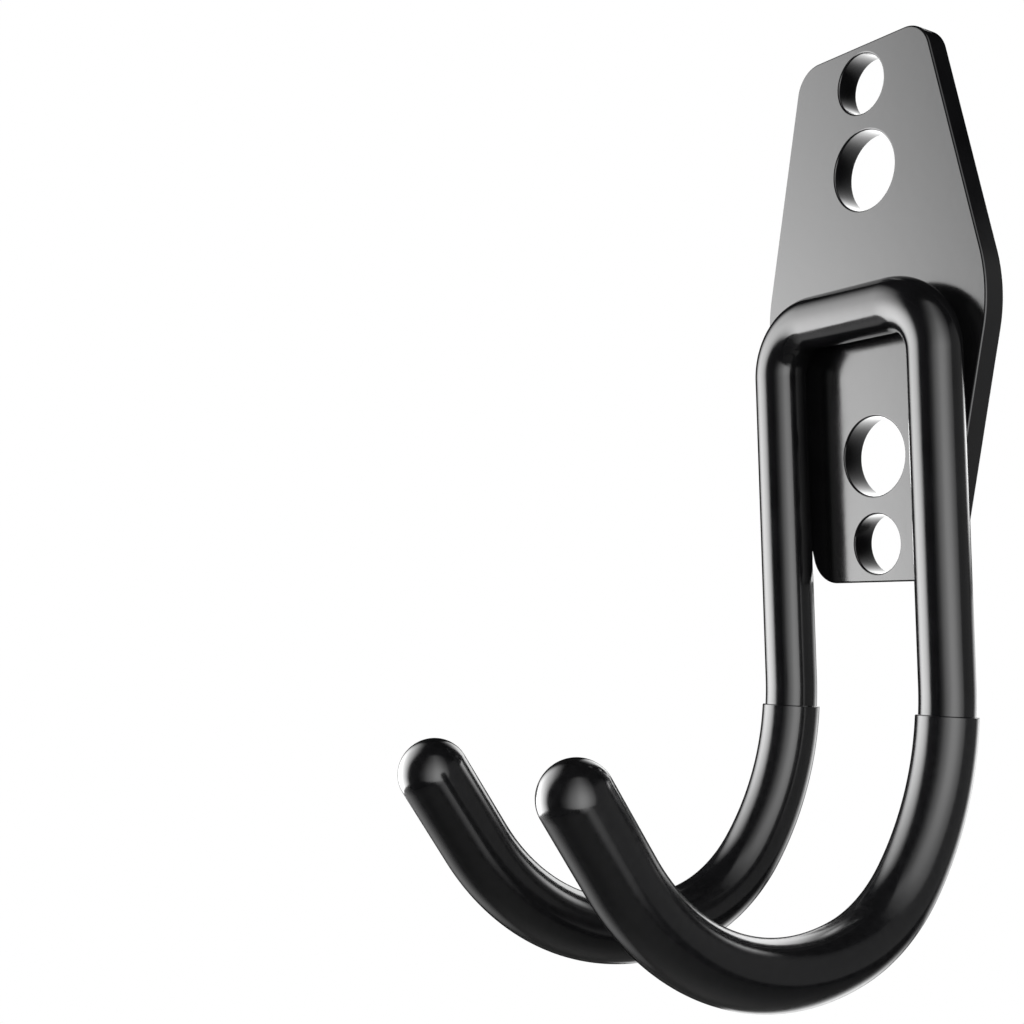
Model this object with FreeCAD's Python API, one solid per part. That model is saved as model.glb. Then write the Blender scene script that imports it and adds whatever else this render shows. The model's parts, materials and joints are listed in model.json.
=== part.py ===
"""Garage utility hook: a steel back plate, one bent steel rod welded to it, and two vinyl sleeves."""
import FreeCAD, Part
import math
import os

# Sizes are in millimetres and degrees. +Z is up, +X is to the right of someone who faces the wall,
# and -Y points from the wall into the room. The origin is the centre of the plate's back face.

# Back plate, blanked from flat steel: six-sided, widest at mid-height, with every corner rounded
plate_thickness = 4.0
plate_height = 81.0
plate_end_width = 25.0
plate_middle_width = 45.0
plate_corner_radius = 4.8
plate_middle_radius = 24.0
plate_edge_round = 0.35

# Screw holes, in line down the middle: a small one near each end, a large one inside each small one
small_hole_diameter = 9.0
small_hole_spacing = 69.5
large_hole_diameter = 12.0
large_hole_spacing = 43.2
hole_edge_break = 0.15

# Rod: a top bar across the plate, a bend at each end of it, two straight legs, and a J at the foot
# of each leg. The J is one smooth run of three bends, tightest at the bottom, and a straight tip.
rod_diameter = 8.0
leg_spacing = 30.9
bar_height = -0.6
corner_bend_radius = 7.7
leg_length = 54.4
leaving_bend_radius = 38.5
leaving_bend_angle = 41.2
bottom_bend_radius = 22.3
bottom_bend_angle = 37.2
rising_bend_radius = 33.6
rising_bend_angle = 70.2
tip_length = 11.3

# Joint between rod and plate: welding beds the rod a little into the plate's front face, and a
# bead of filler runs along the top of the bar, in the groove between the bar and the plate
weld_setdown = 0.2
weld_bead_radius = 1.3
weld_bead_gap = 0.5
weld_bead_length = 14.0

# Sleeves: soft vinyl dipped over each J, from a little way into its first bend to over the tip
sleeve_wall = 0.45
sleeve_start_angle = 6.3
sleeve_lip_bevel = 0.15

rod_radius = rod_diameter / 2
sleeve_radius = rod_radius + sleeve_wall
leg_x = leg_spacing / 2
rod_y = -(plate_thickness + rod_radius - weld_setdown)
bar_z = bar_height
leg_foot_z = bar_z - leg_length

X = FreeCAD.Vector(1, 0, 0)
Y = FreeCAD.Vector(0, 1, 0)
Z = FreeCAD.Vector(0, 0, 1)


def point(x, y, z):
    return FreeCAD.Vector(x, y, z)


def flat_edges(shape):
    """The edges that outline the plate's front and back faces."""
    return [edge for edge in shape.Edges if edge.BoundBox.YLength < plate_thickness / 2]


def corner_edges(shape, at_middle):
    """The edges through the plate's thickness: the two at mid-height, or the four at the ends."""
    found = []
    for edge in shape.Edges:
        through = edge.BoundBox.YLength > plate_thickness / 2
        if through and (abs(edge.CenterOfMass.z) < plate_height / 4) == at_middle:
            found.append(edge)
    return found


def plate_hole(diameter, z):
    """What a punch takes out of the plate at this height, with the hole's two edges broken."""
    radius = diameter / 2
    wide = radius + hole_edge_break
    punch = Part.makeCylinder(radius, plate_thickness, point(0, -plate_thickness, z), Y)
    front_edge = Part.makeCone(wide, radius, hole_edge_break, point(0, -plate_thickness, z), Y)
    back_edge = Part.makeCone(wide, radius, hole_edge_break, point(0, 0, z), -Y)
    return punch.fuse([front_edge, back_edge])


def back_plate(rod):
    top = plate_height / 2
    end_x = plate_end_width / 2
    middle_x = plate_middle_width / 2
    outline = [(-end_x, top), (end_x, top), (middle_x, 0), (end_x, -top), (-end_x, -top), (-middle_x, 0)]
    corners = [point(x, -plate_thickness, z) for x, z in outline]
    blank = Part.Face(Part.makePolygon(corners + corners[:1])).extrude(Y * plate_thickness)
    blank = blank.makeFillet(plate_corner_radius, corner_edges(blank, at_middle=False))
    blank = blank.makeFillet(plate_middle_radius, corner_edges(blank, at_middle=True))
    blank = blank.makeFillet(plate_edge_round, flat_edges(blank))
    holes = []
    for side in (-1, 1):
        holes.append(plate_hole(small_hole_diameter, side * small_hole_spacing / 2))
        holes.append(plate_hole(large_hole_diameter, side * large_hole_spacing / 2))
    return blank.cut(holes).cut(rod)


def turned(centre, start, axis, angle):
    """The point start, turned about the line through centre along axis."""
    return centre + FreeCAD.Rotation(axis, angle).multVec(start - centre)


def arc_edge(centre, start, axis, angle):
    halfway = turned(centre, start, axis, angle / 2)
    return Part.Arc(start, halfway, turned(centre, start, axis, angle)).toShape()


def j_run(side, first_angle=0.0):
    """
    The J's centre line from first_angle into its first bend; side is -1 left, 1 right.
    Each bend is an arc tangent to the one before it, and all of them lift the rod towards -Y.
    Returns the edges, the first point and its direction, the last point and its direction.
    """
    foot = point(side * leg_x, rod_y, leg_foot_z)
    start = turned(foot - Y * leaving_bend_radius, foot, X, -first_angle)
    bends = (
        (leaving_bend_radius, leaving_bend_angle - first_angle),
        (bottom_bend_radius, bottom_bend_angle),
        (rising_bend_radius, rising_bend_angle),
    )
    edges = []
    here = start
    heading = first_angle
    for radius, angle in bends:
        inward = FreeCAD.Rotation(X, -heading).multVec(-Y)
        centre = here + inward * radius
        edges.append(arc_edge(centre, here, X, -angle))
        here = turned(centre, here, X, -angle)
        heading += angle
    direction = FreeCAD.Rotation(X, -heading).multVec(-Z)
    tip = here + direction * tip_length
    edges.append(Part.LineSegment(here, tip).toShape())
    first_direction = FreeCAD.Rotation(X, -first_angle).multVec(-Z)
    return edges, start, first_direction, tip, direction


def dome(tip, direction, radius):
    """The rounded end of a rod or sleeve: half a ball on the end of the centre line."""
    return Part.makeSphere(radius, tip, direction, 0, 90, 360)


def bar_along(edges, start, direction, radius):
    """A round bar of this radius along the centre line, which leaves start in this direction."""
    section = Part.Wire(Part.makeCircle(radius, start, direction))
    return Part.Wire(edges).makePipeShell([section], True, False)


def hook_rod():
    """One bar from the left tip, up and over the plate, to the right tip."""
    bend_z = bar_z - corner_bend_radius
    bend_x = leg_x - corner_bend_radius
    left_j, left_foot, downward, left_tip, tip_direction = j_run(-1)
    right_j, right_foot, downward, right_tip, tip_direction = j_run(1)
    left_top = point(-leg_x, rod_y, bend_z)
    bar_start = point(-bend_x, rod_y, bar_z)
    bar_end = point(bend_x, rod_y, bar_z)
    right_top = point(leg_x, rod_y, bend_z)
    path = list(reversed(left_j))
    path.append(Part.LineSegment(left_foot, left_top).toShape())
    path.append(arc_edge(point(-bend_x, rod_y, bend_z), left_top, Y, 90))
    path.append(Part.LineSegment(bar_start, bar_end).toShape())
    path.append(arc_edge(point(bend_x, rod_y, bend_z), bar_end, Y, 90))
    path.append(Part.LineSegment(right_top, right_foot).toShape())
    path += right_j
    bar = bar_along(path, left_tip, -tip_direction, rod_radius)
    return bar.fuse([dome(left_tip, tip_direction, rod_radius), dome(right_tip, tip_direction, rod_radius)])


def sleeve(side, rod):
    """The vinyl over one J: a bar as thick as the sleeve, with its lip bevelled, less the rod."""
    edges, start, direction, tip, tip_direction = j_run(side, sleeve_start_angle)
    cover = bar_along(edges, start, direction, sleeve_radius)
    lip = [edge for edge in cover.Edges if edge.Closed and (edge.CenterOfMass - start).Length < 1e-3]
    cover = cover.makeChamfer(sleeve_lip_bevel, lip)
    return cover.fuse(dome(tip, tip_direction, sleeve_radius)).cut(rod)


def weld_bead(rod, plate):
    """Filler along the top of the bar, centred on the bar's surface where it stands off the plate."""
    axis_y = -(plate_thickness + weld_bead_gap)
    axis_z = bar_z + math.sqrt(rod_radius ** 2 - (axis_y - rod_y) ** 2)
    straight = weld_bead_length - 2 * weld_bead_radius
    left_end = point(-straight / 2, axis_y, axis_z)
    right_end = point(straight / 2, axis_y, axis_z)
    filler = Part.makeCylinder(weld_bead_radius, straight, left_end, X)
    filler = filler.fuse([dome(left_end, -X, weld_bead_radius), dome(right_end, X, weld_bead_radius)])
    return filler.cut([rod, plate])


def save(name, shape):
    piece = shape.removeSplitter()
    piece.exportStep("parts/" + name + ".step")
    print(name, "solids", len(piece.Solids), "valid", piece.isValid(), "volume", round(piece.Volume, 2))


os.makedirs("parts", exist_ok=True)
rod = hook_rod()
plate = back_plate(rod)
save("back_plate", plate)
save("hook_rod", rod)
save("left_sleeve", sleeve(-1, rod))
save("right_sleeve", sleeve(1, rod))
save("weld_bead", weld_bead(rod, plate))
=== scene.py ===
"""
The looks of a garage utility hook: a six-sided steel plate, one bent rod with two J-shaped arms and a
weld bead, all in gloss black powder coat, and two dipped vinyl sleeves, on a white studio stage.
Lengths are in metres. +Z is up, and -Y points from the wall into the room.
"""
import bpy
import json
import math
import numpy as np
from bpy.props import FloatProperty, FloatVectorProperty, PointerProperty
from mathutils import Matrix, Vector


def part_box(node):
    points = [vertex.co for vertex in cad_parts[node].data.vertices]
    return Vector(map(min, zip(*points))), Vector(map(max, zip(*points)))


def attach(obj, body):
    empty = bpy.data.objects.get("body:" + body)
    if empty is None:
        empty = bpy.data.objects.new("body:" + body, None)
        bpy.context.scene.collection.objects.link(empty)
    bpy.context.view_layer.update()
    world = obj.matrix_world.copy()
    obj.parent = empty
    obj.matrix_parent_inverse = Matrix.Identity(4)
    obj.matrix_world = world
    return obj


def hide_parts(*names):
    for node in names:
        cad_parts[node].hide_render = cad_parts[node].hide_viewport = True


bl_info = {
    "name": "Garage Utility Hook",
    "version": (1, 0, 0),
    "blender": (4, 5, 0),
    "location": "3D View > Sidebar > Hook",
    "description": "Builds a double-arm wall hook and its studio stage on the packed frame",
    "category": "Add Mesh",
}

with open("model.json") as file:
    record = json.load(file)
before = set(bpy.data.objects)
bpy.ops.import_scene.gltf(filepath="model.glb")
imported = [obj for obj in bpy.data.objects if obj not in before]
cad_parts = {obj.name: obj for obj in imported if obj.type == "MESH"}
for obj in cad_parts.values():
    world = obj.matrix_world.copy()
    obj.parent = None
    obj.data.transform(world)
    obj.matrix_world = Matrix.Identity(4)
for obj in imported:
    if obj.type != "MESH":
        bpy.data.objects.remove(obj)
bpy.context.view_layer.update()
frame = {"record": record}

plate_low, plate_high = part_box("back_plate")
rod_low, rod_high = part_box("hook_rod")
mounts = {mount["name"]: mount for mount in frame["record"]["mounts"]}

ROD_DIAMETER = 0.008

# The facets of the solids cut their curves a little. To stay inside their box, the rounded plate and
# sleeves are made a hair under the nominal 45 mm of width at mid-height and 0.45 mm of wall.
PLATE_MIDDLE_WIDTH = 0.04498
SLEEVE_WALL = 0.000435

# The band from a sleeve's inside to its lip, as a share of the lip's rounding
LIP_BAND_SHARE = 0.1

# Vertices closer together than this, in metres, become one
SAME_PLACE = 1e-8

# How finely the surfaces are divided
ROUND_STEPS = 112
BEND_STEP = math.radians(1.2)
LINE_STEPS = 12
DOME_STEPS = 20
EDGE_STEPS = 8
BEAD_STEPS = 160
CORNER_STEPS = 24
SIDE_STEPS = 16
LEVEL_STEPS = 24
FACE_STEPS = 6
FLOOR_STEPS = 96

X = np.array([1.0, 0.0, 0.0])
Y = np.array([0.0, 1.0, 0.0])
Z = np.array([0.0, 0.0, 1.0])

# Factors that mirror a point (x, z) of the plate from side to side, and from top to bottom
FLIP_X = np.array([-1.0, 1.0])
FLIP_Z = np.array([1.0, -1.0])

# Polyester and plasticised vinyl refract alike. The colour and roughness of both vary by these shares,
# up and down, as the noise that they follow goes over this range.
FILM_IOR = 1.5
COLOUR_VARIATION = 0.2
ROUGHNESS_VARIATION = 0.12
NOISE_RANGE = (0.3, 0.7)

# How wide and how high the marks in the powder coat and in the vinyl are
PEEL_SIZE = 0.0016
PEEL_HEIGHT = 0.000006
COAT_BLOTCH_SIZE = 0.005
RUN_SIZE = 0.006
RUN_HEIGHT = 0.00003
GRAIN_SIZE = 0.0009
GRAIN_HEIGHT = 0.000002

# The studio: the point that its panels face, half the width of its dark room, whose ceiling is as high,
# and its floor. To the camera the floor is this white in its middle, and between these shares of its
# radius it fades to full white. The surroundings light the hook at the dimmed strength.
STUDIO_CENTRE = np.array([0.0, -0.03, -0.03])
ROOM_SIZE = 1.5
FLOOR_HEIGHT = -1.2
FLOOR_RADIUS = 2.2
FLOOR_WHITENESS = 0.75
FLOOR_FADE = (0.2, 0.9)
DIMMED_STRENGTH = 0.35

# The camera's sensor in millimetres, and the nearest that it sees in metres
SENSOR_WIDTH = 36.0
CLIP_START = 0.01

# The light panels round the hook, by the directions in which their edges lie from it, in degrees.
# Azimuth 0 is straight in front of the wall, and it grows towards the hook's right side. The stops
# give the glow across each panel, in the direction of growing azimuth, and up it. The backing card
# stands just behind the plate, and gives the walls of the screw holes their light.
PANELS = {
    "key_softbox": dict(
        azimuths=(-97, -25), elevations=(-27, 60), distance=0.38, radiance=11.2,
        across=((0.0, 0.05), (0.29, 0.72), (0.58, 1.0), (0.74, 0.84), (0.87, 0.48), (1.0, 0.0)),
        upward=((0.0, 0.95), (0.19, 1.0), (0.4, 0.66), (0.65, 0.28), (1.0, 0.0))),
    "wide_softbox": dict(
        azimuths=(12, 112), elevations=(-23, 68), distance=0.45, radiance=4.7,
        across=((0.0, 0.0), (0.24, 0.22), (0.44, 0.74), (0.56, 1.0), (0.73, 0.6), (1.0, 0.12)),
        upward=((0.0, 0.9), (0.13, 1.0), (0.29, 0.72), (0.48, 0.4), (0.92, 0.2), (1.0, 0.1))),
    "side_softbox": dict(
        azimuths=(62, 106), elevations=(-38, -22), distance=0.45, radiance=1.8,
        across=((0.0, 0.3), (0.35, 1.0), (0.65, 0.85), (1.0, 0.1)),
        upward=((0.0, 0.0), (0.6, 0.8), (1.0, 1.0))),
    "back_softbox": dict(
        azimuths=(201, 229), elevations=(-1, 46), distance=0.5, radiance=5.0,
        across=((0.0, 0.9), (0.36, 0.75), (0.78, 0.55), (1.0, 0.4)),
        upward=((0.0, 0.8), (0.23, 1.0), (0.37, 0.92), (0.64, 0.38), (1.0, 0.0))),
    "low_softbox": dict(
        azimuths=(162, 207), elevations=(-30, -2), distance=0.55, radiance=2.8,
        across=((0.0, 0.05), (0.27, 0.55), (0.6, 1.0), (0.85, 0.7), (1.0, 0.0)),
        upward=((0.0, 0.4), (0.37, 0.8), (0.6, 1.0), (1.0, 0.5))),
    "under_softbox": dict(
        azimuths=(168, 232), elevations=(-56, -32), distance=0.55, radiance=2.4,
        across=((0.0, 0.05), (0.2, 0.3), (0.5, 1.0), (0.75, 0.85), (1.0, 0.7)),
        upward=((0.0, 0.0), (0.5, 0.8), (0.75, 1.0), (1.0, 0.4))),
    "rim_softbox": dict(
        azimuths=(159, 185), elevations=(-5, 15), distance=0.185, radiance=5.0,
        across=((0.0, 0.0), (0.35, 0.6), (0.6, 1.0), (1.0, 1.0)),
        upward=((0.0, 0.0), (0.3, 0.65), (0.7, 1.0), (1.0, 0.0))),
    "backing_card": dict(
        azimuths=(162, 208), elevations=(-15, 64), distance=0.038, radiance=4.2,
        across=((0.0, 0.0), (0.3, 0.03), (0.49, 0.35), (0.63, 0.9), (0.76, 1.0), (1.0, 0.0)),
        upward=((0.0, 1.0), (1.0, 1.0))),
    "side_card": dict(
        azimuths=(104, 164), elevations=(-26, 32), distance=0.6, radiance=0.26,
        across=((0.0, 1.0), (0.8, 1.0), (1.0, 0.5)),
        upward=((0.0, 1.0), (0.8, 1.0), (1.0, 0.5))),
    "low_card": dict(
        azimuths=(-98, -34), elevations=(-66, -27), distance=0.45, radiance=0.9,
        across=((0.0, 0.2), (0.4, 1.0), (1.0, 0.2)),
        upward=((0.0, 0.4), (0.7, 1.0), (1.0, 0.8))),
}


def hole_size(mount_name, key):
    """A size of one pair of screw holes, from the record's millimetres to metres."""
    return mounts[mount_name]["dims"][key] / 1000


def linear(hex_colour):
    """An sRGB hex colour such as "#0c0c0d" as linear red, green and blue."""
    channels = np.array([int(hex_colour[i:i + 2], 16) for i in (1, 3, 5)]) / 255
    low = channels / 12.92
    high = ((channels + 0.055) / 1.055) ** 2.4
    return tuple(float(c) for c in np.where(channels <= 0.04045, low, high))


def length(name, description, default):
    """Keyword values of a length in metres."""
    return dict(name=name, description=description, default=default, precision=5, unit="LENGTH")


def angle(name, description, degrees):
    """Keyword values of an angle, given in degrees and kept in radians."""
    return dict(name=name, description=description, default=math.radians(degrees), subtype="ANGLE")


def share(name, description, default):
    """Keyword values of a number from 0 to 1."""
    return dict(name=name, description=description, default=default, min=0.0, max=1.0, subtype="FACTOR")


def colour(name, description, hex_colour):
    """Keyword values of a colour, given in sRGB hex."""
    default = linear(hex_colour)
    return dict(name=name, description=description, default=default, min=0.0, max=1.0, subtype="COLOR")


class HookPlateSettings(bpy.types.PropertyGroup):
    """Sizes of the back plate."""
    height: FloatProperty(**length(
        "Height", "From the top edge to the bottom edge", plate_high.z - plate_low.z))
    thickness: FloatProperty(**length("Thickness", "Thickness of the steel", plate_high.y - plate_low.y))
    end_width: FloatProperty(**length("End width", "Width at the ends, before rounding", 0.025))
    middle_width: FloatProperty(**length(
        "Middle width", "Width at mid-height, before rounding", PLATE_MIDDLE_WIDTH))
    corner_radius: FloatProperty(**length("Corner radius", "Radius of the four end corners", 0.0048))
    middle_radius: FloatProperty(**length("Middle radius", "Radius of the two corners at mid-height", 0.024))
    edge_round: FloatProperty(**length("Edge round", "Radius of the outline's edges", 0.00035))
    hole_round: FloatProperty(**length("Hole edge round", "Radius of the holes' edges", 0.0003))
    small_hole_diameter: FloatProperty(**length(
        "Small hole", "Diameter of the two end holes", 2 * hole_size("small_screw_holes", "hole_r_mm")))
    small_hole_spacing: FloatProperty(**length(
        "Small hole spacing", "Between the two end holes", hole_size("small_screw_holes", "spacing_y_mm")))
    large_hole_diameter: FloatProperty(**length(
        "Large hole", "Diameter of the two inner holes", 2 * hole_size("large_screw_holes", "hole_r_mm")))
    large_hole_spacing: FloatProperty(**length(
        "Large hole spacing", "Between the two inner holes", hole_size("large_screw_holes", "spacing_y_mm")))


class HookRodSettings(bpy.types.PropertyGroup):
    """Sizes of the bent rod."""
    diameter: FloatProperty(**length("Diameter", "Diameter of the rod", ROD_DIAMETER))
    leg_spacing: FloatProperty(**length(
        "Leg spacing", "Between the axes of the legs", rod_high.x - rod_low.x - ROD_DIAMETER))
    axis_y: FloatProperty(**length(
        "Axis", "The legs' axis, in front of the wall", rod_high.y - ROD_DIAMETER / 2))
    bar_height: FloatProperty(**length(
        "Bar height", "Height of the bar's axis", rod_high.z - ROD_DIAMETER / 2))
    corner_radius: FloatProperty(**length("Corner bend", "Radius of the bends beside the bar", 0.0077))
    leg_length: FloatProperty(**length("Leg length", "From the bar's axis to the foot of a leg", 0.0544))
    leaving_radius: FloatProperty(**length("Leaving bend", "Radius of the J's first bend", 0.0385))
    leaving_angle: FloatProperty(**angle("Leaving angle", "Turn of the J's first bend", 41.2))
    bottom_radius: FloatProperty(**length("Bottom bend", "Radius of the J's bottom bend", 0.0223))
    bottom_angle: FloatProperty(**angle("Bottom angle", "Turn of the J's bottom bend", 37.2))
    rising_radius: FloatProperty(**length("Rising bend", "Radius of the J's last bend", 0.0336))
    rising_angle: FloatProperty(**angle("Rising angle", "Turn of the J's last bend", 70.2))
    tip_length: FloatProperty(**length("Tip length", "Straight length before the rounded tip", 0.0113))


class HookBeadSettings(bpy.types.PropertyGroup):
    """Sizes of the weld bead on top of the bar."""
    radius: FloatProperty(**length("Radius", "Radius of the bead", 0.0013))
    length: FloatProperty(**length("Length", "Length of the bead, over its rounded ends", 0.014))
    gap: FloatProperty(**length("Gap", "From the plate's face to the bead's axis", 0.0005))
    pitch: FloatProperty(**length("Ripple pitch", "Between two ripples of the bead", 0.0011))
    depth: FloatProperty(**length("Ripple depth", "Depth of the grooves between the ripples", 0.00012))


class HookSleeveSettings(bpy.types.PropertyGroup):
    """Sizes of the two dipped sleeves."""
    wall: FloatProperty(**length("Wall", "Thickness of the vinyl", SLEEVE_WALL))
    lip_round: FloatProperty(**length("Lip round", "Radius of the lip's outer edge", 0.0002))
    start_angle: FloatProperty(**angle("Start angle", "How far into the first bend the sleeve begins", 6.3))


class HookFinishSettings(bpy.types.PropertyGroup):
    """Colours and gloss of the two finishes."""
    coat_colour: FloatVectorProperty(**colour("Powder coat", "Colour of the powder coat", "#0d0d0e"))
    coat_roughness: FloatProperty(**share("Coat roughness", "Roughness of the powder coat", 0.15))
    vinyl_colour: FloatVectorProperty(**colour("Vinyl", "Colour of the sleeves", "#111112"))
    vinyl_roughness: FloatProperty(**share("Vinyl roughness", "Roughness of the vinyl", 0.16))


class HookStageSettings(bpy.types.PropertyGroup):
    """The camera's place and what it looks at."""
    azimuth: FloatProperty(**angle("Azimuth", "Turn of the view towards the hook's right side", 49.476))
    elevation: FloatProperty(**angle("Elevation", "Height of the view above the horizon", -1.286))
    roll: FloatProperty(**angle("Roll", "Turn of the camera about its own axis", -1.894))
    distance: FloatProperty(**length("Distance", "From the camera to its target", 0.23904))
    target: FloatVectorProperty(
        name="Target", description="The point that the camera looks at", default=(-0.045573, 0.0, -0.033841),
        precision=5, subtype="XYZ", unit="LENGTH")
    lens: FloatProperty(
        name="Lens", description="Focal length in millimetres on a 36 mm sensor", default=47.372, precision=3)
    shift: FloatVectorProperty(
        name="Shift", description="Lens shift that frames the hook, in picture widths", size=2,
        default=(-0.18330, 0.03639), precision=5)


def unit(vectors):
    """Each vector divided by its own length."""
    return vectors / np.linalg.norm(vectors, axis=-1, keepdims=True)


def grid_faces(rows, columns):
    """Four-sided faces of a grid of vertices whose last column joins its first, row by row."""
    row = np.arange(rows - 1)[:, None] * columns
    column = np.arange(columns)[None, :]
    following = (column + 1) % columns
    corners = (row + column, row + following, row + columns + following, row + columns + column)
    return np.stack([corner.ravel() for corner in corners], axis=1)


def fan_faces(pole, first, columns, opens):
    """Three-sided faces of the pole that opens or closes a surface, and the ring that starts at first."""
    ring = first + np.arange(columns)
    following = first + (np.arange(columns) + 1) % columns
    around = (following, ring) if opens else (ring, following)
    return np.stack([np.full(columns, pole), *around], axis=1)


def make_piece(name, surface, material, replaced):
    """One mesh object with exact normals, which rides on the hook in place of its CAD node."""
    points, normals, faces = surface
    mesh = bpy.data.meshes.new(name)
    mesh.from_pydata(points.tolist(), [], sum([group.tolist() for group in faces], []))
    mesh.polygons.foreach_set("use_smooth", np.ones(len(mesh.polygons), dtype=bool))
    mesh.normals_split_custom_set_from_vertices(unit(normals).tolist())
    mesh.materials.append(material)
    mesh.update()
    piece = bpy.data.objects.new(name, mesh)
    bpy.context.scene.collection.objects.link(piece)
    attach(piece, "root")
    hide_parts(replaced)
    return piece


def surface_along(line, along, across, radii, facing):
    """
    A round surface carried along a line, closed at each end by a pole.
    Its points are line + radius * outwards, where outwards = cos v * across + sin v * (along x across)
    for v once round, and its normals are facing[0] * outwards + facing[1] * along.
    """
    around = np.linspace(0.0, 2 * math.pi, ROUND_STEPS, endpoint=False)
    sideways = np.cross(along, across)
    outwards = np.cos(around)[:, None] * across[:, None] + np.sin(around)[:, None] * sideways[:, None]
    points = line[:, None] + radii[:, None, None] * outwards
    normals = facing[:, 0, None, None] * outwards + facing[:, 1, None, None] * along[:, None]
    rings = len(line) - 2
    pole = rings * ROUND_STEPS
    poles = [0, -1]
    faces = [
        grid_faces(rings, ROUND_STEPS),
        fan_faces(pole, 0, ROUND_STEPS, opens=True),
        fan_faces(pole + 1, pole - ROUND_STEPS, ROUND_STEPS, opens=False),
    ]
    all_points = np.concatenate([points[1:-1].reshape(-1, 3), line[poles]])
    all_normals = np.concatenate([normals[1:-1].reshape(-1, 3), facing[poles, 1:] * along[poles]])
    return all_points, all_normals, faces


def j_line(rod, side, first_angle=0.0):
    """
    The J's centre line from first_angle into its first bend to the end of its straight tip.
    At heading h it runs along (-sin h, -cos h) in (y, z), and the centre of its bend lies along
    inward = (-cos h, sin h), so a bend is its first point plus radius * (first inward - inward).
    """
    foot = np.array([rod.axis_y, rod.bar_height - rod.leg_length])
    heading = first_angle
    here = foot + rod.leaving_radius * np.array([math.cos(heading) - 1.0, -math.sin(heading)])
    bends = (
        (rod.leaving_radius, rod.leaving_angle - first_angle),
        (rod.bottom_radius, rod.bottom_angle),
        (rod.rising_radius, rod.rising_angle),
    )
    points = [here[None]]
    headings = [np.array([heading])]
    for radius, turn in bends:
        steps = np.linspace(heading, heading + turn, 1 + math.ceil(turn / BEND_STEP))
        inward = np.stack([-np.cos(steps), np.sin(steps)], axis=1)
        arc = here + radius * (inward[0] - inward)
        points.append(arc[1:])
        headings.append(steps[1:])
        here = arc[-1]
        heading = steps[-1]
    tip_direction = np.array([-math.sin(heading), -math.cos(heading)])
    reached = np.linspace(0.0, rod.tip_length, LINE_STEPS)[1:, None]
    points.append(here + reached * tip_direction)
    headings.append(np.full(LINE_STEPS - 1, heading))
    flat = np.concatenate(points)
    turned = np.concatenate(headings)
    line = np.column_stack([np.full(len(flat), side * rod.leg_spacing / 2), flat])
    along = np.column_stack([np.zeros(len(flat)), -np.sin(turned), -np.cos(turned)])
    return line, along


def dome(end, direction, radius):
    """
    A half ball on the end of a line, as the rings from its rim to its pole.
    At angle a above the rim the ring lies radius * sin a along the direction, its radius is
    radius * cos a, and it faces cos a outwards and sin a along.
    """
    rise = np.linspace(0.0, math.pi / 2, DOME_STEPS + 1)[1:]
    centres = end + radius * np.sin(rise)[:, None] * direction
    return centres, radius * np.cos(rise), np.column_stack([np.cos(rise), np.sin(rise)])


def rod_line(rod):
    """
    The rod's centre line from the left tip, up and over the plate, to the right tip.
    Each bend beside the bar is its centre plus the radius times (cos t, sin t) in (x, z). The frame
    starts from X on the left leg, is Y x along on the bar, and so ends at -X on the right leg.
    """
    left_line, left_along = j_line(rod, -1)
    right_line, right_along = j_line(rod, 1)
    bend_x = rod.leg_spacing / 2 - rod.corner_radius
    bend_z = rod.bar_height - rod.corner_radius
    steps = 1 + math.ceil(math.pi / 2 / BEND_STEP)
    turn = np.concatenate([np.linspace(math.pi, math.pi / 2, steps), np.linspace(math.pi / 2, 0.0, steps)])
    over = np.column_stack([
        np.repeat([-bend_x, bend_x], steps) + rod.corner_radius * np.cos(turn),
        np.full(2 * steps, rod.axis_y),
        bend_z + rod.corner_radius * np.sin(turn),
    ])
    over_along = np.column_stack([np.sin(turn), np.zeros(2 * steps), -np.cos(turn)])
    line = np.concatenate([left_line[::-1], over, right_line])
    along = np.concatenate([-left_along[::-1], over_along, right_along])
    across = np.concatenate([
        np.broadcast_to(X, left_line.shape),
        np.cross(Y, over_along),
        np.broadcast_to(-X, right_line.shape),
    ])
    return line, along, across


def rod_surface(rod):
    """
    The rod: a bar of one radius carried along its line, with a half ball on each end. The left one
    faces against the line's direction, so the sign of that part of its normals is turned.
    """
    radius = rod.diameter / 2
    line, along, across = rod_line(rod)
    left, left_radii, left_facing = dome(line[0], -along[0], radius)
    right, right_radii, right_facing = dome(line[-1], along[-1], radius)
    frames = np.concatenate([np.full(DOME_STEPS, 0), np.arange(len(line)), np.full(DOME_STEPS, -1)])
    return surface_along(
        np.concatenate([left[::-1], line, right]),
        along[frames],
        across[frames],
        np.concatenate([left_radii[::-1], np.full(len(line), radius), right_radii]),
        np.concatenate([left_facing[::-1] * [1, -1], np.tile([1.0, 0.0], (len(line), 1)), right_facing]),
    )


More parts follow.
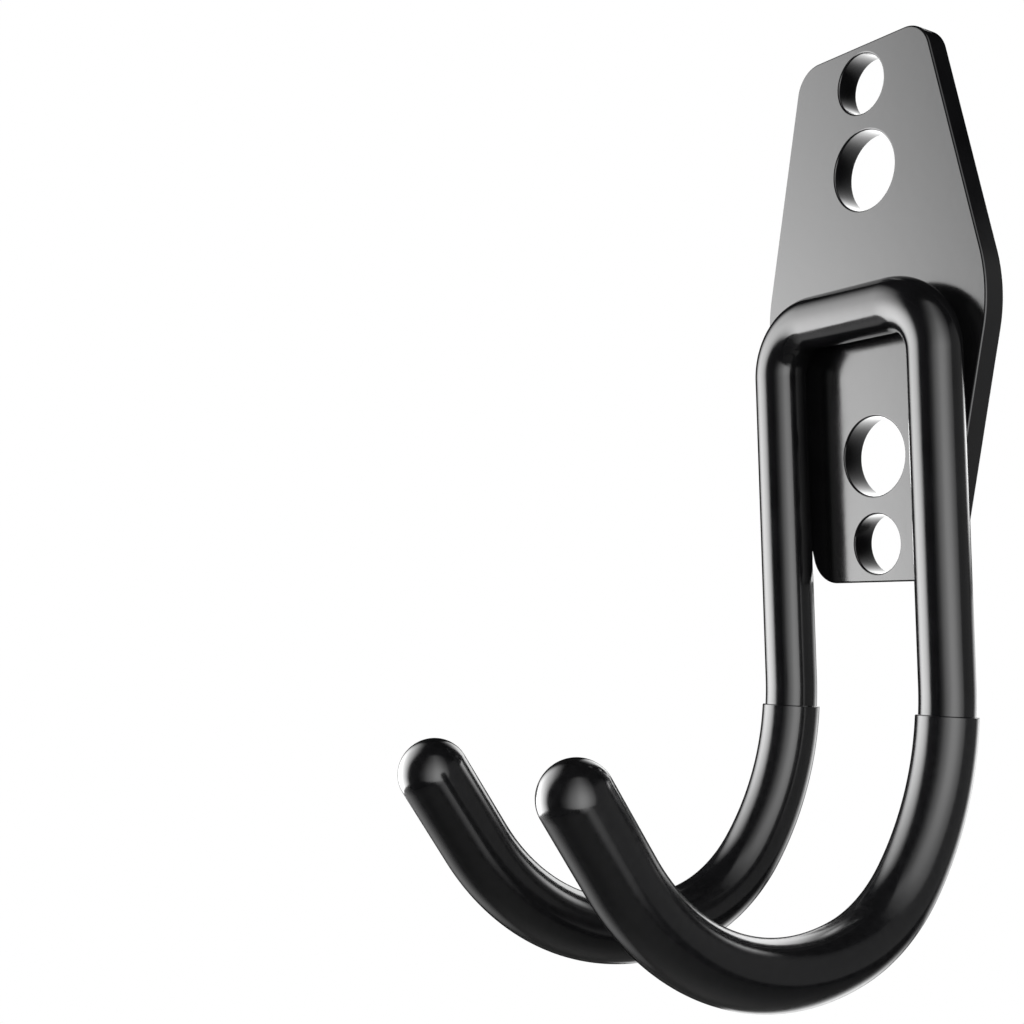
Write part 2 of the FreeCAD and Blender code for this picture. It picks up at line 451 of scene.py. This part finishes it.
def sleeve_surface(rod, sleeve, side):
    """
    One sleeve as a profile carried along the J: from the pole inside the tip back along the rod to
    the lip, out across the lip, round its edge, and forward along the outside to the outer pole.
    A narrow band takes the surface from the inside, which faces the rod, to the lip, which faces back.
    """
    inner = rod.diameter / 2
    inner_lip = inner + LIP_BAND_SHARE * sleeve.lip_round
    outer = inner + sleeve.wall
    line, along = j_line(rod, side, sleeve.start_angle)
    inner_tip, inner_radii, inner_facing = dome(line[-1], along[-1], inner)
    outer_tip, outer_radii, outer_facing = dome(line[-1], along[-1], outer)
    curve = np.linspace(0.0, math.pi / 2, EDGE_STEPS + 1)
    lip = line[0] + sleeve.lip_round * (1.0 - np.cos(curve))[:, None] * along[0]
    count = len(line)
    backward = np.arange(count)[::-1]
    frames = np.concatenate([
        np.full(DOME_STEPS, -1), backward, np.zeros(EDGE_STEPS + 2, dtype=int), np.arange(1, count),
        np.full(DOME_STEPS, -1),
    ])
    return surface_along(
        np.concatenate([inner_tip[::-1], line[backward], line[:1], lip, line[1:], outer_tip]),
        along[frames],
        np.broadcast_to(X, (len(frames), 3)),
        np.concatenate([
            inner_radii[::-1], np.full(count, inner), [inner_lip],
            outer - sleeve.lip_round * (1.0 - np.sin(curve)), np.full(count - 1, outer), outer_radii,
        ]),
        np.concatenate([
            -inner_facing[::-1], np.tile([-1.0, 0.0], (count, 1)), [[0.0, -1.0]],
            np.column_stack([np.sin(curve), -np.cos(curve)]), np.tile([1.0, 0.0], (count - 1, 1)),
            outer_facing,
        ]),
    )


def bead_surface(rod, plate, bead):
    """
    The weld bead: a round bar along X with half-ball ends. Its radius at x loses the share
    depth / radius * (1 - |sin(pi * x / pitch)|), which leaves the rounded ripples of a hand-laid bead.
    """
    axis_y = -(plate.thickness + bead.gap)
    radius = rod.diameter / 2
    axis_z = rod.bar_height + math.sqrt(radius ** 2 - (axis_y - rod.axis_y) ** 2)
    straight = bead.length / 2 - bead.radius
    rise = np.linspace(-math.pi / 2, 0.0, DOME_STEPS + 1)
    left = -straight + bead.radius * np.sin(rise)
    middle = np.linspace(-straight, straight, BEAD_STEPS)[1:-1]
    x = np.concatenate([left, middle, -left[::-1]])
    beyond = np.maximum(np.abs(x) - straight, 0.0)
    ripple = bead.depth * (1.0 - np.abs(np.sin(math.pi * x / bead.pitch)))
    radii = np.sqrt(np.maximum(bead.radius ** 2 - beyond ** 2, 0.0)) * (1.0 - ripple / bead.radius)
    growth = np.gradient(radii, x)
    facing = np.column_stack([np.ones(len(x)), -growth])
    facing[[0, -1]] = [[0.0, -1.0], [0.0, 1.0]]
    line = np.column_stack([x, np.full(len(x), axis_y), np.full(len(x), axis_z)])
    return surface_along(line, np.broadcast_to(X, line.shape), np.broadcast_to(Z, line.shape), radii, facing)


def plate_quarter(plate, cut_height):
    """
    The plate's outline in (x, z) from the middle of its top edge to its widest point, with normals.
    The top edge is level. The corner and the widest point are arcs: centre + radius * (cos a, sin a)
    with a from 90 degrees to the side's slope and from the slope to 0. A straight side joins them,
    and one of its points reaches cut_height on the flat face. Returns its index too.
    """
    top = plate.height / 2
    slope = math.atan2((plate.middle_width - plate.end_width) / 2, top)
    side_normal = np.array([math.cos(slope), math.sin(slope)])
    corner_z = top - plate.corner_radius
    corner_x = plate.end_width / 2 + plate.corner_radius * (side_normal[1] - 1.0) / side_normal[0]
    middle_x = plate.middle_width / 2 - plate.middle_radius / side_normal[0]
    corner_turn = np.linspace(math.pi / 2, slope, CORNER_STEPS)
    middle_turn = np.linspace(slope, 0.0, CORNER_STEPS)
    corner_normals = np.column_stack([np.cos(corner_turn), np.sin(corner_turn)])
    middle_normals = np.column_stack([np.cos(middle_turn), np.sin(middle_turn)])
    corner = np.array([corner_x, corner_z]) + plate.corner_radius * corner_normals
    middle = np.array([middle_x, 0.0]) + plate.middle_radius * middle_normals
    high = corner[-1]
    low = middle[0]
    cut_share = (high[1] - plate.edge_round * side_normal[1] - cut_height) / (high[1] - low[1])
    shares = np.concatenate([
        np.linspace(0.0, cut_share, SIDE_STEPS)[1:],
        np.linspace(cut_share, 1.0, 2 * SIDE_STEPS)[1:-1],
    ])
    side = high + shares[:, None] * (low - high)
    level_x = np.linspace(0.0, corner_x, SIDE_STEPS)[:-1]
    level = np.column_stack([level_x, np.full(len(level_x), top)])
    points = np.concatenate([level, corner, side, middle])
    normals = np.concatenate([
        np.broadcast_to([0.0, 1.0], level.shape),
        corner_normals,
        np.broadcast_to(side_normal, side.shape),
        middle_normals,
    ])
    cut_index = len(level) + len(corner) + SIDE_STEPS - 2
    return points, normals, cut_index


def all_round(quarter):
    """A quarter's values once round the outline, clockwise from the top as seen from the room."""
    return np.concatenate([
        quarter,
        (quarter * FLIP_Z)[-2::-1],
        (quarter * FLIP_X * FLIP_Z)[1:],
        (quarter * FLIP_X)[-2:0:-1],
    ])


def hole_loops(rim, cut):
    """
    The loops round the two upper holes. The upper one follows the flat face's rim from the top down to
    its point cut, and the lower one from there to the widest point. Level lines close both.
    """
    level = np.linspace(rim[cut], rim[cut] * FLIP_X, LEVEL_STEPS)
    across = np.linspace(rim[-1], rim[-1] * FLIP_X, LEVEL_STEPS)
    upper = np.concatenate([rim[:cut + 1], level[1:-1], (rim * FLIP_X)[cut:0:-1]])
    lower = np.concatenate([level[::-1], rim[cut + 1:], across[1:-1], (rim * FLIP_X)[:cut:-1]])
    return upper, lower


def edge_patch(plate, outline, outline_normals):
    """The outline's profile carried round it: from the front over two rounded edges to the back."""
    turn = np.linspace(0.0, math.pi / 2, EDGE_STEPS + 1)
    inset = plate.edge_round * (1.0 - np.cos(turn))
    front_y = plate.edge_round * (1.0 - np.sin(turn)) - plate.thickness
    insets = np.concatenate([inset[::-1], inset])
    ys = np.concatenate([front_y[::-1], -plate.thickness - front_y])
    turns = np.concatenate([-turn[::-1], turn])
    flat = outline - insets[:, None, None] * outline_normals
    return lay_out(flat, ys, np.cos(turns)[:, None, None] * outline_normals, np.sin(turns))


def hole_patches(plate, loop, height, radius):
    """
    A hole's profile carried round it, from the back over two rounded edges to the front, and the flat
    faces at the front and the back, from the hole out to the loop round it.
    """
    turn = np.linspace(0.0, math.pi / 2, EDGE_STEPS + 1)
    widen = plate.hole_round * (1.0 - np.cos(turn))
    front_y = plate.hole_round * (1.0 - np.sin(turn)) - plate.thickness
    radii = radius + np.concatenate([widen[::-1], widen])
    ys = np.concatenate([-plate.thickness - front_y[::-1], front_y])
    turns = np.concatenate([turn[::-1], -turn])
    centre = np.array([0.0, height])
    outwards = unit(loop - centre)
    wall = centre + radii[:, None, None] * outwards
    shares = np.linspace(0.0, 1.0, FACE_STEPS)[:, None, None]
    face = wall[-1] + shares * (loop - wall[-1])
    no_lean = np.zeros_like(face)
    ones = np.ones(FACE_STEPS)
    return [
        lay_out(wall, ys, -np.cos(turns)[:, None, None] * outwards, np.sin(turns)),
        lay_out(face, -plate.thickness * ones, no_lean, -ones),
        lay_out(face[::-1], np.zeros(FACE_STEPS), no_lean, ones),
    ]


def plate_surface(plate):
    """
    The plate as profiles carried round loops: one round the outline, and one round each hole, whose
    flat faces reach out to the rim or to a level line half-way to the next hole. All edges are quarter
    circles, so every normal follows from its angle. The lower half mirrors the upper one.
    """
    small = (plate.small_hole_spacing / 2, plate.small_hole_diameter / 2)
    large = (plate.large_hole_spacing / 2, plate.large_hole_diameter / 2)
    cut_height = (small[0] - small[1] + large[0] + large[1]) / 2
    quarter, quarter_normals, cut = plate_quarter(plate, cut_height)
    upper_loop, lower_loop = hole_loops(quarter - plate.edge_round * quarter_normals, cut)
    holes = [(upper_loop, *small), (lower_loop, *large)]
    holes += [((loop * FLIP_Z)[::-1], -height, radius) for loop, height, radius in holes]
    patches = [edge_patch(plate, all_round(quarter), all_round(quarter_normals))]
    for loop, height, radius in holes:
        patches += hole_patches(plate, loop, height, radius)
    return weld(patches)


def lay_out(flat, ys, flat_normals, y_normals):
    """A patch from its (x, z) grid, each row's y, the (x, z) part of its normals and each row's y part."""
    rows, columns = flat.shape[:2]
    row_y = np.broadcast_to(ys[:, None], (rows, columns))
    row_turn = np.broadcast_to(y_normals[:, None], (rows, columns))
    points = np.stack([flat[..., 0], row_y, flat[..., 1]], axis=-1)
    normals = np.stack([flat_normals[..., 0], row_turn, flat_normals[..., 1]], axis=-1)
    return points.reshape(-1, 3), normals.reshape(-1, 3), grid_faces(rows, columns)


def weld(patches):
    """Patches joined into one surface: vertices at the same place become one."""
    points, normals, faces = zip(*patches)
    starts = np.cumsum([0] + [len(group) for group in points])
    all_points = np.concatenate(points)
    all_normals = np.concatenate(normals)
    all_faces = np.concatenate([group + start for group, start in zip(faces, starts)])
    places = np.rint(all_points / SAME_PLACE).astype(np.int64)
    first, which = np.unique(places, axis=0, return_index=True, return_inverse=True)[1:]
    return all_points[first], all_normals[first], [which.reshape(-1)[all_faces]]


def add_node(tree, kind, settings=None, values=None, links=None):
    """One shader node with its settings, its sockets' values and the outputs that feed it."""
    node = tree.nodes.new(kind)
    for name, value in (settings or {}).items():
        setattr(node, name, value)
    for socket, value in (values or {}).items():
        node.inputs[socket].default_value = value
    for socket, output in (links or {}).items():
        tree.links.new(output, node.inputs[socket])
    return node


def new_material(name):
    """An empty node material and its tree."""
    material = bpy.data.materials.new(name)
    material.use_nodes = True
    material.node_tree.nodes.clear()
    return material, material.node_tree


def set_stops(ramp, stops):
    """Give a colour ramp its stops, each a position from 0 to 1 and a linear colour there."""
    elements = ramp.color_ramp.elements
    for stop in stops[1:-1]:
        elements.new(stop[0])
    for element, (position, tint) in zip(elements, stops):
        element.position = position
        element.color = (*tint, 1.0)


def gloss_surface(tree, noise, bump, base, roughness):
    """A gloss film whose colour and roughness follow the noise, with the bump's normals."""
    low, high = NOISE_RANGE
    shade = add_node(tree, "ShaderNodeValToRGB", links={"Fac": noise.outputs["Fac"]})
    set_stops(shade, [
        (low, [(1.0 - COLOUR_VARIATION) * channel for channel in base]),
        (high, [(1.0 + COLOUR_VARIATION) * channel for channel in base]),
    ])
    gloss = add_node(
        tree, "ShaderNodeMapRange",
        values={
            "From Min": low,
            "From Max": high,
            "To Min": (1.0 - ROUGHNESS_VARIATION) * roughness,
            "To Max": (1.0 + ROUGHNESS_VARIATION) * roughness,
        },
        links={"Value": noise.outputs["Fac"]},
    )
    shader = add_node(
        tree, "ShaderNodeBsdfPrincipled",
        values={"IOR": FILM_IOR},
        links={
            "Base Color": shade.outputs["Color"],
            "Roughness": gloss.outputs["Result"],
            "Normal": bump.outputs["Normal"],
        },
    )
    add_node(tree, "ShaderNodeOutputMaterial", links={"Surface": shader.outputs["BSDF"]})


def gloss_powder_coat(finish):
    """
    Polyester powder coat: a dry powder sprayed on steel and baked to a hard gloss film.
    It flows out with a faint orange peel, so that mirrored edges waver a little.
    """
    material, tree = new_material("gloss_powder_coat")
    place = add_node(tree, "ShaderNodeTexCoord")
    peel = add_node(
        tree, "ShaderNodeTexNoise",
        values={"Scale": 1.0 / PEEL_SIZE, "Detail": 1.0},
        links={"Vector": place.outputs["Object"]},
    )
    bump = add_node(
        tree, "ShaderNodeBump",
        values={"Strength": 1.0, "Distance": PEEL_HEIGHT},
        links={"Height": peel.outputs["Fac"]},
    )
    blotches = add_node(
        tree, "ShaderNodeTexNoise",
        values={"Scale": 1.0 / COAT_BLOTCH_SIZE, "Detail": 3.0},
        links={"Vector": place.outputs["Object"]},
    )
    gloss_surface(tree, blotches, bump, finish.coat_colour, finish.coat_roughness)
    return material


def dipped_vinyl(finish):
    """
    Soft plasticised vinyl: the hot arm is dipped in liquid plastisol, which sets to a thick skin.
    It runs a little before it sets, so that its gloss carries long soft waves and a fine grain. The
    real grain, about 0.3 mm, is too fine to show, so it is drawn three times as coarse.
    """
    material, tree = new_material("dipped_vinyl")
    place = add_node(tree, "ShaderNodeTexCoord")
    waves = add_node(
        tree, "ShaderNodeTexNoise",
        values={"Scale": 1.0 / RUN_SIZE, "Detail": 0.0},
        links={"Vector": place.outputs["Object"]},
    )
    runs = add_node(
        tree, "ShaderNodeBump",
        values={"Strength": 1.0, "Distance": RUN_HEIGHT},
        links={"Height": waves.outputs["Fac"]},
    )
    grain = add_node(
        tree, "ShaderNodeTexNoise",
        values={"Scale": 1.0 / GRAIN_SIZE, "Detail": 2.0},
        links={"Vector": place.outputs["Object"]},
    )
    bump = add_node(
        tree, "ShaderNodeBump",
        values={"Strength": 1.0, "Distance": GRAIN_HEIGHT},
        links={"Height": grain.outputs["Fac"], "Normal": runs.outputs["Normal"]},
    )
    gloss_surface(tree, grain, bump, finish.vinyl_colour, finish.vinyl_roughness)
    return material


def light_panel_material(name, radiance, across, upward):
    """A softbox's cloth: it glows, and its glow fades across and up it as the two lists of stops say."""
    material, tree = new_material(name)
    place = add_node(tree, "ShaderNodeTexCoord")
    parts = add_node(tree, "ShaderNodeSeparateXYZ", links={"Vector": place.outputs["UV"]})
    sideways = add_node(tree, "ShaderNodeValToRGB", links={"Fac": parts.outputs["X"]})
    height = add_node(tree, "ShaderNodeValToRGB", links={"Fac": parts.outputs["Y"]})
    for ramp, stops in ((sideways, across), (height, upward)):
        ramp.color_ramp.interpolation = "CARDINAL"
        set_stops(ramp, [(position, (level, level, level)) for position, level in stops])
    strength = add_node(
        tree, "ShaderNodeMapRange",
        values={"To Max": radiance},
        links={"Value": height.outputs["Color"]},
    )
    glow = add_node(
        tree, "ShaderNodeEmission",
        links={"Color": sideways.outputs["Color"], "Strength": strength.outputs["Result"]},
    )
    add_node(tree, "ShaderNodeOutputMaterial", links={"Surface": glow.outputs["Emission"]})
    return material


def pale_floor_material():
    """Pale seamless paper. To the camera it fades out into the white background at its edge."""
    fade_start, fade_end = FLOOR_FADE
    material, tree = new_material("pale_paper")
    place = add_node(tree, "ShaderNodeTexCoord")
    away = add_node(
        tree, "ShaderNodeVectorMath", {"operation": "LENGTH"},
        links={"Vector": place.outputs["UV"]},
    )
    fade = add_node(
        tree, "ShaderNodeMapRange", {"interpolation_type": "SMOOTHSTEP"},
        values={"From Min": fade_start, "From Max": fade_end, "To Min": FLOOR_WHITENESS},
        links={"Value": away.outputs["Value"]},
    )
    paper = add_node(
        tree, "ShaderNodeBsdfDiffuse",
        values={"Color": (*linear("#ececea"), 1.0)},
    )
    white = add_node(tree, "ShaderNodeEmission")
    seen = add_node(
        tree, "ShaderNodeMixShader",
        links={"Fac": fade.outputs["Result"], 1: paper.outputs["BSDF"], 2: white.outputs["Emission"]},
    )
    ray = add_node(tree, "ShaderNodeLightPath")
    surface = add_node(
        tree, "ShaderNodeMixShader",
        links={"Fac": ray.outputs["Is Camera Ray"], 1: paper.outputs["BSDF"], 2: seen.outputs["Shader"]},
    )
    add_node(tree, "ShaderNodeOutputMaterial", links={"Surface": surface.outputs["Shader"]})
    return material


def make_stage_object(name, points, faces, material, uvs=None):
    """An object of the studio, with its corners' places on the material where that needs them."""
    mesh = bpy.data.meshes.new(name)
    mesh.from_pydata(points.tolist(), [], faces)
    if uvs is not None:
        layer = mesh.uv_layers.new(name="UVMap")
        layer.uv.foreach_set("vector", uvs.ravel())
    mesh.materials.append(material)
    mesh.update()
    thing = bpy.data.objects.new(name, mesh)
    bpy.context.scene.collection.objects.link(thing)
    return thing


def add_panel(name, azimuths, elevations, distance, radiance, across, upward):
    """
    An upright panel that faces the hook and that the camera doesn't see. Its middle lies at the
    distance along (sin a, -cos a, 0), its sides at the tangent of half its turn along (cos a, sin a, 0),
    and its lower and upper edges at the tangents of its two elevations.
    """
    a = math.radians(sum(azimuths) / 2)
    half = math.tan(math.radians(azimuths[1] - azimuths[0]) / 2)
    low, high = (math.tan(math.radians(elevation)) for elevation in elevations)
    uvs = np.array([[0.0, 0.0], [1.0, 0.0], [1.0, 1.0], [0.0, 1.0]])
    sideways = (2.0 * uvs[:, :1] - 1.0) * half * np.array([math.cos(a), math.sin(a), 0.0])
    upwards = (low + uvs[:, 1:] * (high - low)) * Z
    middle = np.array([math.sin(a), -math.cos(a), 0.0])
    corners = STUDIO_CENTRE + distance * (middle + sideways + upwards)
    material = light_panel_material(name, radiance, across, upward)
    panel = make_stage_object(name, corners, [[0, 1, 2, 3]], material, uvs)
    panel.visible_camera = False


def add_dark_room():
    """
    The dark walls and ceiling of the studio, which gloss black shows between the lights. The camera
    looks through them at the white surroundings.
    """
    material, tree = new_material("dark_studio_wall")
    paint = add_node(tree, "ShaderNodeBsdfDiffuse", values={"Color": (*linear("#222222"), 1.0)})
    add_node(tree, "ShaderNodeOutputMaterial", links={"Surface": paint.outputs["BSDF"]})
    square = np.array([[-1.0, -1.0], [1.0, -1.0], [1.0, 1.0], [-1.0, 1.0]]) * ROOM_SIZE
    lower = np.column_stack([square, np.full(4, FLOOR_HEIGHT)])
    upper = np.column_stack([square, np.full(4, ROOM_SIZE)])
    faces = [[0, 1, 5, 4], [1, 2, 6, 5], [2, 3, 7, 6], [3, 0, 4, 7], [4, 5, 6, 7]]
    room = make_stage_object("dark_room", np.concatenate([lower, upper]), faces, material)
    room.visible_camera = False


def add_floor():
    """A round pale floor well below the hook: the disc (r cos t, r sin t) at one height."""
    turn = np.linspace(0.0, 2 * math.pi, FLOOR_STEPS, endpoint=False)
    uvs = np.column_stack([np.cos(turn), np.sin(turn)])
    points = np.column_stack([FLOOR_RADIUS * uvs, np.full(FLOOR_STEPS, FLOOR_HEIGHT)])
    make_stage_object("studio_floor", points, [list(range(FLOOR_STEPS))], pale_floor_material(), uvs)


def add_world():
    """White to the camera and in mirrors and glass, and dimmer where it lights the hook."""
    world = bpy.data.worlds.new("white_studio")
    world.use_nodes = True
    tree = world.node_tree
    tree.nodes.clear()
    paint = (*linear("#ffffff"), 1.0)
    white = add_node(tree, "ShaderNodeBackground", values={"Color": paint, "Strength": 1.0})
    dim = add_node(tree, "ShaderNodeBackground", values={"Color": paint, "Strength": DIMMED_STRENGTH})
    ray = add_node(tree, "ShaderNodeLightPath")
    camera_or_mirror = add_node(
        tree, "ShaderNodeMath", {"operation": "MAXIMUM"},
        links={0: ray.outputs["Is Camera Ray"], 1: ray.outputs["Is Glossy Ray"]},
    )
    seen = add_node(
        tree, "ShaderNodeMath", {"operation": "MAXIMUM"},
        links={0: camera_or_mirror.outputs["Value"], 1: ray.outputs["Is Transmission Ray"]},
    )
    mixed = add_node(
        tree, "ShaderNodeMixShader",
        links={"Fac": seen.outputs["Value"], 1: dim.outputs["Background"], 2: white.outputs["Background"]},
    )
    add_node(tree, "ShaderNodeOutputWorld", links={"Surface": mixed.outputs["Shader"]})
    bpy.context.scene.world = world


def add_camera(stage):
    """
    The camera looks along (-sin a cos e, cos a cos e, -sin e) at its target, and is then turned about
    that axis by the roll. The shift keeps the hook where it is in the square picture.
    """
    a, e = stage.azimuth, stage.elevation
    forward = Vector((-math.sin(a) * math.cos(e), math.cos(a) * math.cos(e), -math.sin(e)))
    level = Vector((math.cos(a), math.sin(a), 0.0))
    upright = level.cross(forward)
    right = math.cos(stage.roll) * level + math.sin(stage.roll) * upright
    up = right.cross(forward)
    data = bpy.data.cameras.new("camera")
    data.sensor_width = SENSOR_WIDTH
    data.lens = stage.lens
    data.shift_x, data.shift_y = stage.shift
    data.clip_start = CLIP_START
    camera = bpy.data.objects.new("camera", data)
    place = Matrix((right, up, -forward)).transposed().to_4x4()
    place.translation = stage.target - stage.distance * forward
    camera.matrix_world = place
    bpy.context.scene.collection.objects.link(camera)
    bpy.context.scene.camera = camera


def coat():
    """The powder coat, made once and shared by the steel pieces."""
    return bpy.data.materials.get("gloss_powder_coat") or gloss_powder_coat(bpy.context.scene.hook_finish)


class HOOK_OT_plate(bpy.types.Operator):
    """Build the back plate with its four screw holes"""
    bl_idname = "hook.plate"
    bl_label = "Back plate"

    def execute(self, context):
        surface = plate_surface(context.scene.hook_plate)
        make_piece("plate_body", surface, coat(), "back_plate")
        return {"FINISHED"}


class HOOK_OT_rod(bpy.types.Operator):
    """Build the bent rod, from tip to tip"""
    bl_idname = "hook.rod"
    bl_label = "Bent rod"

    def execute(self, context):
        surface = rod_surface(context.scene.hook_rod)
        make_piece("rod_body", surface, coat(), "hook_rod")
        return {"FINISHED"}


class HOOK_OT_bead(bpy.types.Operator):
    """Build the weld bead on top of the bar"""
    bl_idname = "hook.bead"
    bl_label = "Weld bead"

    def execute(self, context):
        scene = context.scene
        surface = bead_surface(scene.hook_rod, scene.hook_plate, scene.hook_bead)
        make_piece("bead_body", surface, coat(), "weld_bead")
        return {"FINISHED"}


class HOOK_OT_sleeves(bpy.types.Operator):
    """Build the two dipped sleeves"""
    bl_idname = "hook.sleeves"
    bl_label = "Vinyl sleeves"

    def execute(self, context):
        scene = context.scene
        vinyl = dipped_vinyl(scene.hook_finish)
        for side, name in ((-1, "left_sleeve"), (1, "right_sleeve")):
            surface = sleeve_surface(scene.hook_rod, scene.hook_sleeves, side)
            make_piece(name + "_body", surface, vinyl, name)
        return {"FINISHED"}


class HOOK_OT_stage(bpy.types.Operator):
    """Set up the floor, the light panels, the white surroundings and the camera"""
    bl_idname = "hook.stage"
    bl_label = "Studio stage"

    def execute(self, context):
        add_floor()
        add_dark_room()
        for name, values in PANELS.items():
            add_panel(name, **values)
        add_world()
        add_camera(context.scene.hook_stage)
        context.scene.view_settings.view_transform = "Standard"
        return {"FINISHED"}


class HOOK_PT_panel(bpy.types.Panel):
    """Lists the hook's operators and their settings"""
    bl_idname = "HOOK_PT_panel"
    bl_label = "Garage Utility Hook"
    bl_space_type = "VIEW_3D"
    bl_region_type = "UI"
    bl_category = "Hook"

    def draw(self, context):
        for group in GROUPS:
            settings_group = getattr(context.scene, group)
            box = self.layout.box()
            for name in settings_group.bl_rna.properties.keys():
                if name not in ("rna_type", "name"):
                    box.prop(settings_group, name)
        for operator in OPERATORS:
            self.layout.operator(operator.bl_idname)


GROUPS = {
    "hook_plate": HookPlateSettings,
    "hook_rod": HookRodSettings,
    "hook_bead": HookBeadSettings,
    "hook_sleeves": HookSleeveSettings,
    "hook_finish": HookFinishSettings,
    "hook_stage": HookStageSettings,
}
OPERATORS = (HOOK_OT_plate, HOOK_OT_rod, HOOK_OT_bead, HOOK_OT_sleeves, HOOK_OT_stage)


def register():
    """Add the settings, the operators and the sidebar panel to Blender."""
    for name, group in GROUPS.items():
        bpy.utils.register_class(group)
        setattr(bpy.types.Scene, name, PointerProperty(type=group))
    for kind in (*OPERATORS, HOOK_PT_panel):
        bpy.utils.register_class(kind)


def unregister():
    """Take them away again."""
    for kind in (HOOK_PT_panel, *reversed(OPERATORS)):
        bpy.utils.unregister_class(kind)
    for name, group in reversed(GROUPS.items()):
        delattr(bpy.types.Scene, name)
        bpy.utils.unregister_class(group)


def main():
    """Build the pieces and the stage."""
    register()
    bpy.ops.hook.plate()
    bpy.ops.hook.rod()
    bpy.ops.hook.bead()
    bpy.ops.hook.sleeves()
    bpy.ops.hook.stage()


if __name__ == "__main__":
    main()
